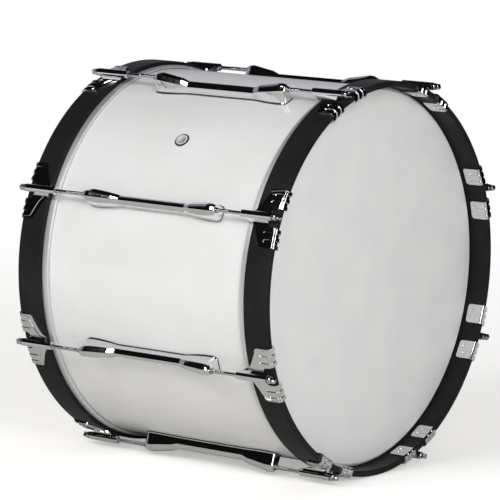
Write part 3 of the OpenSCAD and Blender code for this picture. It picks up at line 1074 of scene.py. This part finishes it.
@dataclass
class Claws:
    """Cast claws that grip the hoops; their solids get a rolled fold and softened edges."""

    layout: Layout
    skin: float = 2.8
    fold: float = 5.0
    soften: float = 0.5
    slice: float = 0.8
    strip: float = 5.0

    def build(self) -> None:
        """Softens a copy of every claw's solid."""
        for side, number in self.layout.places():
            node = f"{side.name}_claw_{number}"
            mesh = bpy.data.objects[node].data.copy()
            made = in_scene(f"{side.name}_claw_casting_{number}", mesh)
            self.round_edges(made, side, number)
            fit(made, Finishes.CASTING, node, f"{side.name}_rim")

    def roll_fold(self, work: Work, side: Side, number: int) -> None:
        """Rolls the square corner over the hoop's outer edge into a round fold.

        Args:
            work: the claw's mesh, where it stands.
            side: the end of the drum that it is at.
            number: its place round the drum.
        """
        turn = self.layout.turn(number)
        out = Vector((-math.sin(turn), 0, math.cos(turn)))
        across = Vector((math.cos(turn), 0, math.sin(turn)))
        axis = Vector((0, 0, self.layout.hoop_radius * MM))
        radius = self.layout.hoop_radius + self.skin - self.fold
        depth = self.layout.hoop_high + self.skin - self.fold
        cuts = [(axis + out * (radius - 3 + self.slice * k) * MM, out) for k in range(11)]
        cuts += [(axis + across * self.strip * k * MM, across) for k in range(-8, 9)]
        for k in range(7):
            level = side.value * (depth + self.slice * k) * MM
            cuts.append((Vector((0, level, 0)), Vector((0, 1, 0))))
        for place, normal in cuts:
            parts = [*work.verts, *work.edges, *work.faces]
            bmesh.ops.bisect_plane(work, geom=parts, dist=1e-6, plane_co=place, plane_no=normal)
        for vert in work.verts:
            arm = Vector((vert.co.x, 0, vert.co.z - axis.z))
            up, on = arm.length / MM - radius, abs(vert.co.y) / MM - depth
            if up > 0 and on > 0:
                share = max(up, on) / math.hypot(up, on)
                moved = axis + arm.normalized() * (radius + up * share) * MM
                vert.co = Vector((moved.x, side.value * (depth + on * share) * MM, moved.z))

    def round_edges(self, piece: Piece, side: Side, number: int) -> None:
        """Joins the solid's facets, rolls its fold and rounds its edges as a casting's are.

        Args:
            piece: the copy of the claw's solid.
            side: the end of the drum that it is at.
            number: its place round the drum.
        """
        work = bmesh.new()
        work.from_mesh(piece.data)
        bmesh.ops.remove_doubles(work, verts=work.verts, dist=0.01 * MM)
        flat = math.radians(1.0)
        bmesh.ops.dissolve_limit(work, angle_limit=flat, verts=work.verts, edges=work.edges)
        self.roll_fold(work, side, number)
        work.to_mesh(piece.data)
        work.free()
        bevel = piece.modifiers.new("soften", "BEVEL")
        bevel.width, bevel.segments, bevel.limit_method = self.soften * MM, 3, "ANGLE"
        bevel.angle_limit, bevel.use_clamp_overlap = math.radians(28), True
        apply_modifiers(piece)
        clean(piece, 30)


@dataclass
class TensionRods:
    """Key-headed rods: thread, smooth shank, collar and a square for the key."""

    layout: Layout
    thread: ShapeTree
    thread_length: float = 40.0
    crest: float = 2.74
    depth: float = 0.3
    pitch: float = 1.0583
    rows_a_turn: int = 8
    thread_steps: int = 28
    body_steps: int = 40
    shank: float = 2.54
    collar: float = 4.72
    collar_height: float = 4.2
    key: float = 6.3
    key_height: float = 6.0
    key_root: float = 0.3
    key_edge: float = 0.55
    key_cone: float = 0.7
    seed: int = 7

    @property
    def seat(self) -> float:
        """Where the collar's lower face lies."""
        return self.layout.key_top - self.key_height - self.collar_height

    def key_mesh(self, work: Work) -> None:
        """Adds the square head, its upper end turned down to a cone and its edges eased.

        Args:
            work: the rod's mesh, which it is added to.
        """
        base, top = self.seat + self.collar_height - self.key_root, self.layout.key_top
        made = bmesh.ops.create_cube(work, size=1.0)["verts"]
        for v in made:
            y = base + (v.co.y + 0.5) * (top - base)
            v.co = Vector((v.co.x * self.key, y, v.co.z * self.key)) * MM
        edges = dict.fromkeys(e for v in made for e in v.link_edges)
        upright = [e for e in edges if abs(e.verts[0].co.y - e.verts[1].co.y) > 1 * MM]
        ease = {"profile": 0.5, "affect": "EDGES"}
        bmesh.ops.bevel(work, geom=upright, offset=self.key_edge * MM, segments=3, **ease)
        upper = [e for e in work.edges if all(abs(v.co.y - top * MM) < 1e-6 for v in e.verts)]
        ease["profile"] = 0.6
        bmesh.ops.bevel(work, geom=upper, offset=self.key_cone * MM, segments=2, **ease)

    def pattern(self) -> Mesh:
        """One rod on the local Y axis.

        Returns:
            Its mesh.
        """
        length, start = self.thread_length, self.layout.rod_tip
        helix = self.thread.make(
            "thread", Finishes.ROD, Crest_Radius=self.crest * MM, Depth=self.depth * MM,
            Pitch=self.pitch * MM, Length=length * MM, Steps=self.thread_steps,
            Rows=int(length / self.pitch * self.rows_a_turn),
        )
        middle = Matrix.Translation((0, (start + length / 2) * MM, 0))
        helix.transform(middle @ Matrix.Rotation(-math.pi / 2, 4, "X"))
        y0, y1, c, h = start + length, self.seat, self.collar, self.collar_height
        body = [(self.crest, y0), (self.shank, y0 + 0.6), (self.shank, y1), (c, y1), (c, y1 + h)]
        body += [(self.key / 2, y1 + h), (0, y1 + h)]
        body = rounded(body, (0, 0.2, 0, 0.25, h * 0.8, 0, 0), 8)
        tip = [(0, start), (self.crest - 0.7, start), (self.crest, start + 0.05)]
        work = bmesh.new()
        work.from_mesh(helix)
        for profile, steps in ((body, self.body_steps), (tip, self.thread_steps)):
            points, faces = lathe_mesh(profile, steps)
            part = bpy.data.meshes.new("part")
            part.from_pydata([tuple(v * MM for v in p) for p in points], [], faces)
            work.from_mesh(part)
        self.key_mesh(work)
        shade(work, 50)
        made = bpy.data.meshes.new("rod_pattern")
        work.to_mesh(made)
        work.free()
        return made

    def build(self) -> None:
        """Places the sixteen rods, each turned as its tuning left it."""
        pattern = self.pattern()
        chance = random.Random(self.seed)
        lift = Matrix.Translation((0, 0, self.layout.rod_circle * MM))
        for side, number in self.layout.places():
            spin = Matrix.Rotation(chance.uniform(0, math.pi / 2), 4, "Y")
            place = self.layout.at(number, side) @ lift @ spin
            made = placed_copy(f"{side.name}_tension_rod_{number}", pattern, place)
            node = f"{side.name}_rod_{number}"
            fit(made, Finishes.ROD, node, f"{node}_body")


@dataclass
class Hardware:
    """Swivel nuts, rod washers and the air vent."""

    layout: Layout
    tree: ShapeTree
    nut_radii: tuple[float, ...] = (2.85, 3.1, 3.4, 3.45, 3.78, 4.75)
    nut_body: float = 8.9
    nut_seat: float = 3.1
    nut_groove: float = 1.7
    washer_radii: tuple[float, ...] = (3.1, 4.55, 4.72)
    washer_ease: float = 0.17
    eyelet_radii: tuple[float, ...] = (5.55, 5.6, 6.4, 7.4, 8.1)
    rubber_radii: Point = (8.4, 10.2)
    tube_end: float = 243.0

    def ring(self, name: str, profile: Line, finish: Finishes, both: bool) -> Piece:
        """Repeats a turned part, on the axis of a rod, round the drum.

        Args:
            name: name of the piece.
            profile: its closed section, as (radius from the rod's axis, distance).
            finish: its finish.
            both: True to have it at both ends of the drum.

        Returns:
            The piece.
        """
        drawn = turned("seed", [*profile, profile[0]], 40, 35, self.layout.rod_circle)
        pattern = drawn.data
        bpy.data.objects.remove(drawn)
        count = self.layout.count
        made = self.tree.make(
            name, finish, pattern, Count=count, Step=2 * math.pi / count,
            Height=self.layout.hoop_radius * MM, Both_Ends=both,
        )
        return in_scene(name, made)

    def swivel_nuts(self) -> None:
        """Noses of the swivel nuts, with a chamfered mouth and an eased rim."""
        bore, mouth, rim, ring, neck, body = self.nut_radii
        nose, seat = self.layout.nut_nose, self.layout.lug_end - self.nut_seat
        low, groove = seat - self.nut_body, nose - self.nut_groove
        section = [(bore, low), (body, low), (body, seat), (neck, seat), (neck, groove - 0.6)]
        section += [(ring, groove - 0.35), (ring, groove + 0.1), (neck, groove + 0.35)]
        section += [(neck, nose - 0.75), (rim, nose), (mouth, nose), (bore, nose - 0.4)]
        reach = (0, 0.3, 0.3, 0, 0.15, 0.15, 0.15, 0.15, 0.3, 0.15, 0.1, 0)
        piece = self.ring("swivel_nut_set", rounded(section, reach, 3), Finishes.NICKEL, True)
        piece.data.transform(Matrix.Translation((0, self.layout.lug_shift * MM, 0)))
        fit(piece, Finishes.NICKEL, "swivel_nuts", "shell")

    def washers(self, side: Side) -> None:
        """Washers under the collars of one end's rods.

        Args:
            side: the end of the drum.
        """
        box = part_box(f"{side.name}_rod_washers")
        low, high = (c.y / MM for c in (box if side is Side.rear else reversed(box)))
        hole, flat, edge = self.washer_radii
        ease = self.washer_ease * side.value
        section = [(hole, low), (flat, low), (edge, low + ease)]
        section += [(edge, high - ease), (flat, high), (hole, high)]
        piece = self.ring(f"{side.name}_washer_set", section, Finishes.NYLON, False)
        fit(piece, Finishes.NYLON, f"{side.name}_rod_washers", f"{side.name}_rim")

    def grommet(self) -> None:
        """The turned vent grommet: a matt eyelet rolled over a black rubber ring."""
        bore, mouth, crest, tube, rolled = self.eyelet_radii
        r, low, (ring, edge) = SHELL_RADIUS, self.tube_end, self.rubber_radii
        section = [(bore, low), (tube, low), (tube, r - 0.3), (edge, r - 0.3), (edge, r + 1.2)]
        section += [(ring, r + 1.5), (ring, r + 1.0), (rolled, r + 1.95), (crest, r + 1.9)]
        section.append((mouth, r + 0.9))
        section = rounded(section, (0, 0, 0, 0, 1.0, 0.3, 0.1, 0.9, 0.9, 0.4), 5)
        points, faces = lathe_mesh([*section, section[0]], 96)
        piece = mesh_object("vent_grommet_turned", [(x, z, y) for x, y, z in points], faces)
        clean(piece, 40)
        outer = [math.hypot(f.center.x, f.center.y) > ring * MM for f in piece.data.polygons]
        up = Matrix.Translation((0, 0, self.layout.hoop_radius * MM))
        piece.data.transform(up @ Matrix.Rotation(-math.pi / 4, 4, "Y"))
        fit(piece, Finishes.EYELET, "vent_grommet", "shell")
        piece.data.materials.append(Finishes.RUBBER.value.material())
        for face, is_rubber in zip(piece.data.polygons, outer):
            face.material_index = int(is_rubber)

    def build(self) -> None:
        """Builds all of it."""
        self.swivel_nuts()
        for side in Side:
            self.washers(side)
        self.grommet()


@dataclass
class CarriedNodes:
    """Solids that keep their own shape and only get a finish, by a word in their name."""

    words: tuple[tuple[str, Finishes], ...] = (
        ("shell", Finishes.WRAP),
        ("gaskets", Finishes.RUBBER),
        ("screws", Finishes.ZINC),
        ("lug_washers", Finishes.ZINC),
        ("sleeves", Finishes.NYLON),
    )

    def build(self, nodes: dict[str, Piece]) -> None:
        """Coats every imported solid; those that a piece stands for aren't seen.

        Args:
            nodes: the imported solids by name.
        """
        for name, solid in nodes.items():
            coat(solid, next((f for word, f in self.words if word in name), Finishes.CASTING))
        LOG.info("%d solids are coated", len(nodes))


# --- studio


@dataclass(frozen=True)
class SoftBox:
    """A rectangular studio lamp."""

    name: str
    place: Place
    size: Point
    power: float
    mirrored: bool = True


@dataclass(frozen=True)
class Screen:
    """Cloth that the metal mirrors: part of a sphere round the set, in metres and degrees."""

    name: str
    colour: str
    distance: float
    turn: Point
    tilt: Point
    rings: int = 8
    steps: int = 48


@dataclass
class Studio:
    """Camera, lamps, screens that only mirrors show, and a pale floor in a pale room.

    The floor is lifted by a little light of its own, and fades into white between the two
    distances of floor_fade: wholly for the camera and in part for a mirror. A mirror sees the
    floor in a darker colour, painted shade standing in for the floor's shade round the drum.
    """

    middle: Place = (0.0, 0.0, 0.2636)
    camera_place: Place = (-3.6410, -2.6548, 0.8859)
    right: Place = (0.5945, -0.8036, 0.0300)
    up: Place = (0.0892, 0.1030, 0.9906)
    ahead: Place = (0.7991, 0.5862, -0.1329)
    lens: float = 240.8
    white: str = "#ffffff"
    ambient: float = 0.35
    floor_colour: str = "#f5f3ef"
    # the colour a mirror sees of the floor, darker than its own: painted shade
    floor_mirror_painted_shade: str = "#cccac4"
    floor_roughness: float = 0.9
    floor_lift: float = 0.38
    floor_fade: Point = (0.6, 2.4)
    mirrored_fade: float = 0.7
    floor_half: float = 9e3
    screens: tuple[Screen, ...] = (
        Screen("black_drapes", "#0e0e0f", 6.0, (0, 360), (0, 90)),
        Screen("grey_backdrop", "#93939e", 5.5, (25, 118), (0, 40.3)),
        Screen("black_card", "#0e0e0f", 2.0, (-75, 0), (0, 14)),
    )
    lamps: tuple[SoftBox, ...] = (
        SoftBox("side_light", (-2.6, 0.4, 2.1), (1.1, 0.8), 32),
        SoftBox("front_light", (-1.76, -2.25, 1.15), (1.0, 2.0), 40),
        SoftBox("rear_fill", (2.6, 2.2, 0.9), (1.6, 1.4), 10, mirrored=False),
    )

    def camera(self) -> None:
        """A long lens from the front and left, slightly above."""
        data = bpy.data.cameras.new("view")
        data.sensor_width, data.lens = 36, self.lens
        data.clip_start, data.clip_end = 0.1, 50
        made = in_scene("view", data)
        r, u, f = (Vector(v).normalized() for v in (self.right, self.up, self.ahead))
        turn = Matrix((r, u, -f)).transposed().to_4x4()
        made.matrix_world = Matrix.Translation(self.camera_place) @ turn
        bpy.context.scene.camera = made

    def lamp(self, box: SoftBox) -> None:
        """Makes one soft box, facing the drum.

        Args:
            box: the soft box.
        """
        data = bpy.data.lights.new(box.name, "AREA")
        data.shape, data.size, data.size_y = "RECTANGLE", box.size[0], box.size[1]
        data.energy = box.power
        made = in_scene(box.name, data)
        made.location = box.place
        toward = Vector(self.middle) - Vector(box.place)
        made.rotation_euler = toward.to_track_quat("-Z", "Y").to_euler()
        made.visible_glossy = box.mirrored

    @staticmethod
    def sight(graph: Graph) -> tuple[Socket, Socket]:
        """1 where the camera sees a surface, also through glass; 1 where a mirror shows it.

        Args:
            graph: writes into the material's tree.

        Returns:
            The two, as sockets.
        """
        ray = graph.add("ShaderNodeLightPath").outputs
        seen = graph.math("MAXIMUM", ray["Is Camera Ray"], ray["Is Transmission Ray"])
        return seen, ray["Is Glossy Ray"]

    @staticmethod
    def glow(graph: Graph, colour: str, strength: Any = 1.0) -> Socket:
        """A surface that gives light of its own."""
        return graph.out("ShaderNodeEmission", Color=linear(colour), Strength=strength)

    @staticmethod
    def show(graph: Graph, surface: Socket) -> None:
        """Makes a surface what the material shows."""
        graph.fill(graph.tree.nodes["Material Output"], i0=surface)

    def hang(self, screen: Screen) -> None:
        """Hangs one screen, which shows only in the polished metal and the gloss.

        Args:
            screen: the screen.
        """
        rings, steps, distance = screen.rings, screen.steps, screen.distance / MM
        points, faces = [], []
        for i in range(rings + 1):
            tilt = math.radians(between(screen.tilt, i / rings))
            reach, height = distance * math.cos(tilt), distance * math.sin(tilt)
            for k in range(steps + 1):
                turn = math.radians(between(screen.turn, k / steps))
                points.append((reach * math.cos(turn), reach * math.sin(turn), height))
                if i < rings and k < steps:
                    a = i * (steps + 1) + k
                    faces.append((a, a + 1, a + steps + 2, a + steps + 1))
        made = mesh_object(screen.name, points, faces)
        made.visible_camera = made.visible_diffuse = False
        made.visible_shadow = made.visible_transmission = False
        cloth, graph = new_material(screen.name)
        self.show(graph, self.glow(graph, screen.colour))
        made.data.materials.append(cloth)

    def floor(self) -> None:
        """A pale sweep: lifted towards white for the camera; a mirror sees it darker, painted
        shade.
        """
        far = self.floor_half
        corners = [(-far, -far, 0), (far, -far, 0), (far, far, 0), (-far, far, 0)]
        made = mesh_object("floor", corners, [(0, 1, 2, 3)])
        sweep, graph = new_material("pale_floor")
        seen, mirrored = self.sight(graph)
        shader = graph.fill(
            graph.tree.nodes["Principled BSDF"],
            # painted shade: a mirror sees the floor in a darker colour than the camera does
            Base_Color=graph.blend(mirrored, self.floor_colour, self.floor_mirror_painted_shade),
            Roughness=self.floor_roughness, Specular_IOR_Level=0.0,
        )
        place = graph.add("ShaderNodeNewGeometry").outputs["Position"]
        away = graph.add("ShaderNodeVectorMath", {"operation": "LENGTH"}, i0=place).outputs["Value"]
        lift = self.glow(graph, self.white, graph.math("MULTIPLY", seen, self.floor_lift))
        near = graph.out("ShaderNodeAddShader", i0=shader.outputs[0], i1=lift)
        # a mirror sees the far floor only partly white, so the painted shade stays there in part
        fading = graph.math("ADD", seen, graph.math("MULTIPLY", mirrored, self.mirrored_fade))
        share = graph.math("MULTIPLY", graph.band(away, *self.floor_fade), fading)
        room = self.glow(graph, self.white)
        self.show(graph, graph.out("ShaderNodeMixShader", i0=share, i1=near, i2=room))
        made.data.materials.append(sweep)

    def world(self) -> None:
        """An even pale room, which is white where the camera or a mirror looks past the set."""
        world = bpy.data.worlds.new("room")
        bpy.context.scene.world = world
        world.use_nodes = True
        graph = Graph(world.node_tree)
        looked_at = graph.band(graph.math("MAXIMUM", *self.sight(graph)), 0, 1, self.ambient, 1.0)
        back = world.node_tree.nodes["Background"]
        graph.fill(back, Color=linear(self.white), Strength=looked_at)

    def build(self) -> None:
        """Sets up the whole studio."""
        self.camera()
        for box in self.lamps:
            self.lamp(box)
        for screen in self.screens:
            self.hang(screen)
        self.floor()
        self.world()
        bpy.context.scene.view_settings.view_transform = "Standard"
        LOG.info("studio is set")


def main() -> None:
    """Builds the dressed drum and the studio round it."""
    logging.basicConfig(level=logging.INFO, format="%(name)s: %(message)s")
    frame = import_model()
    layout = Layout.measured()
    CarriedNodes().build(frame["nodes"])
    for side in Side:
        Hoops(layout, side).build()
    BridgeLug(layout).build()
    Claws(layout).build()
    TensionRods(layout, thread_tree()).build()
    Hardware(layout, ring_tree()).build()
    Studio().build()


if __name__ == "__main__":
    main()
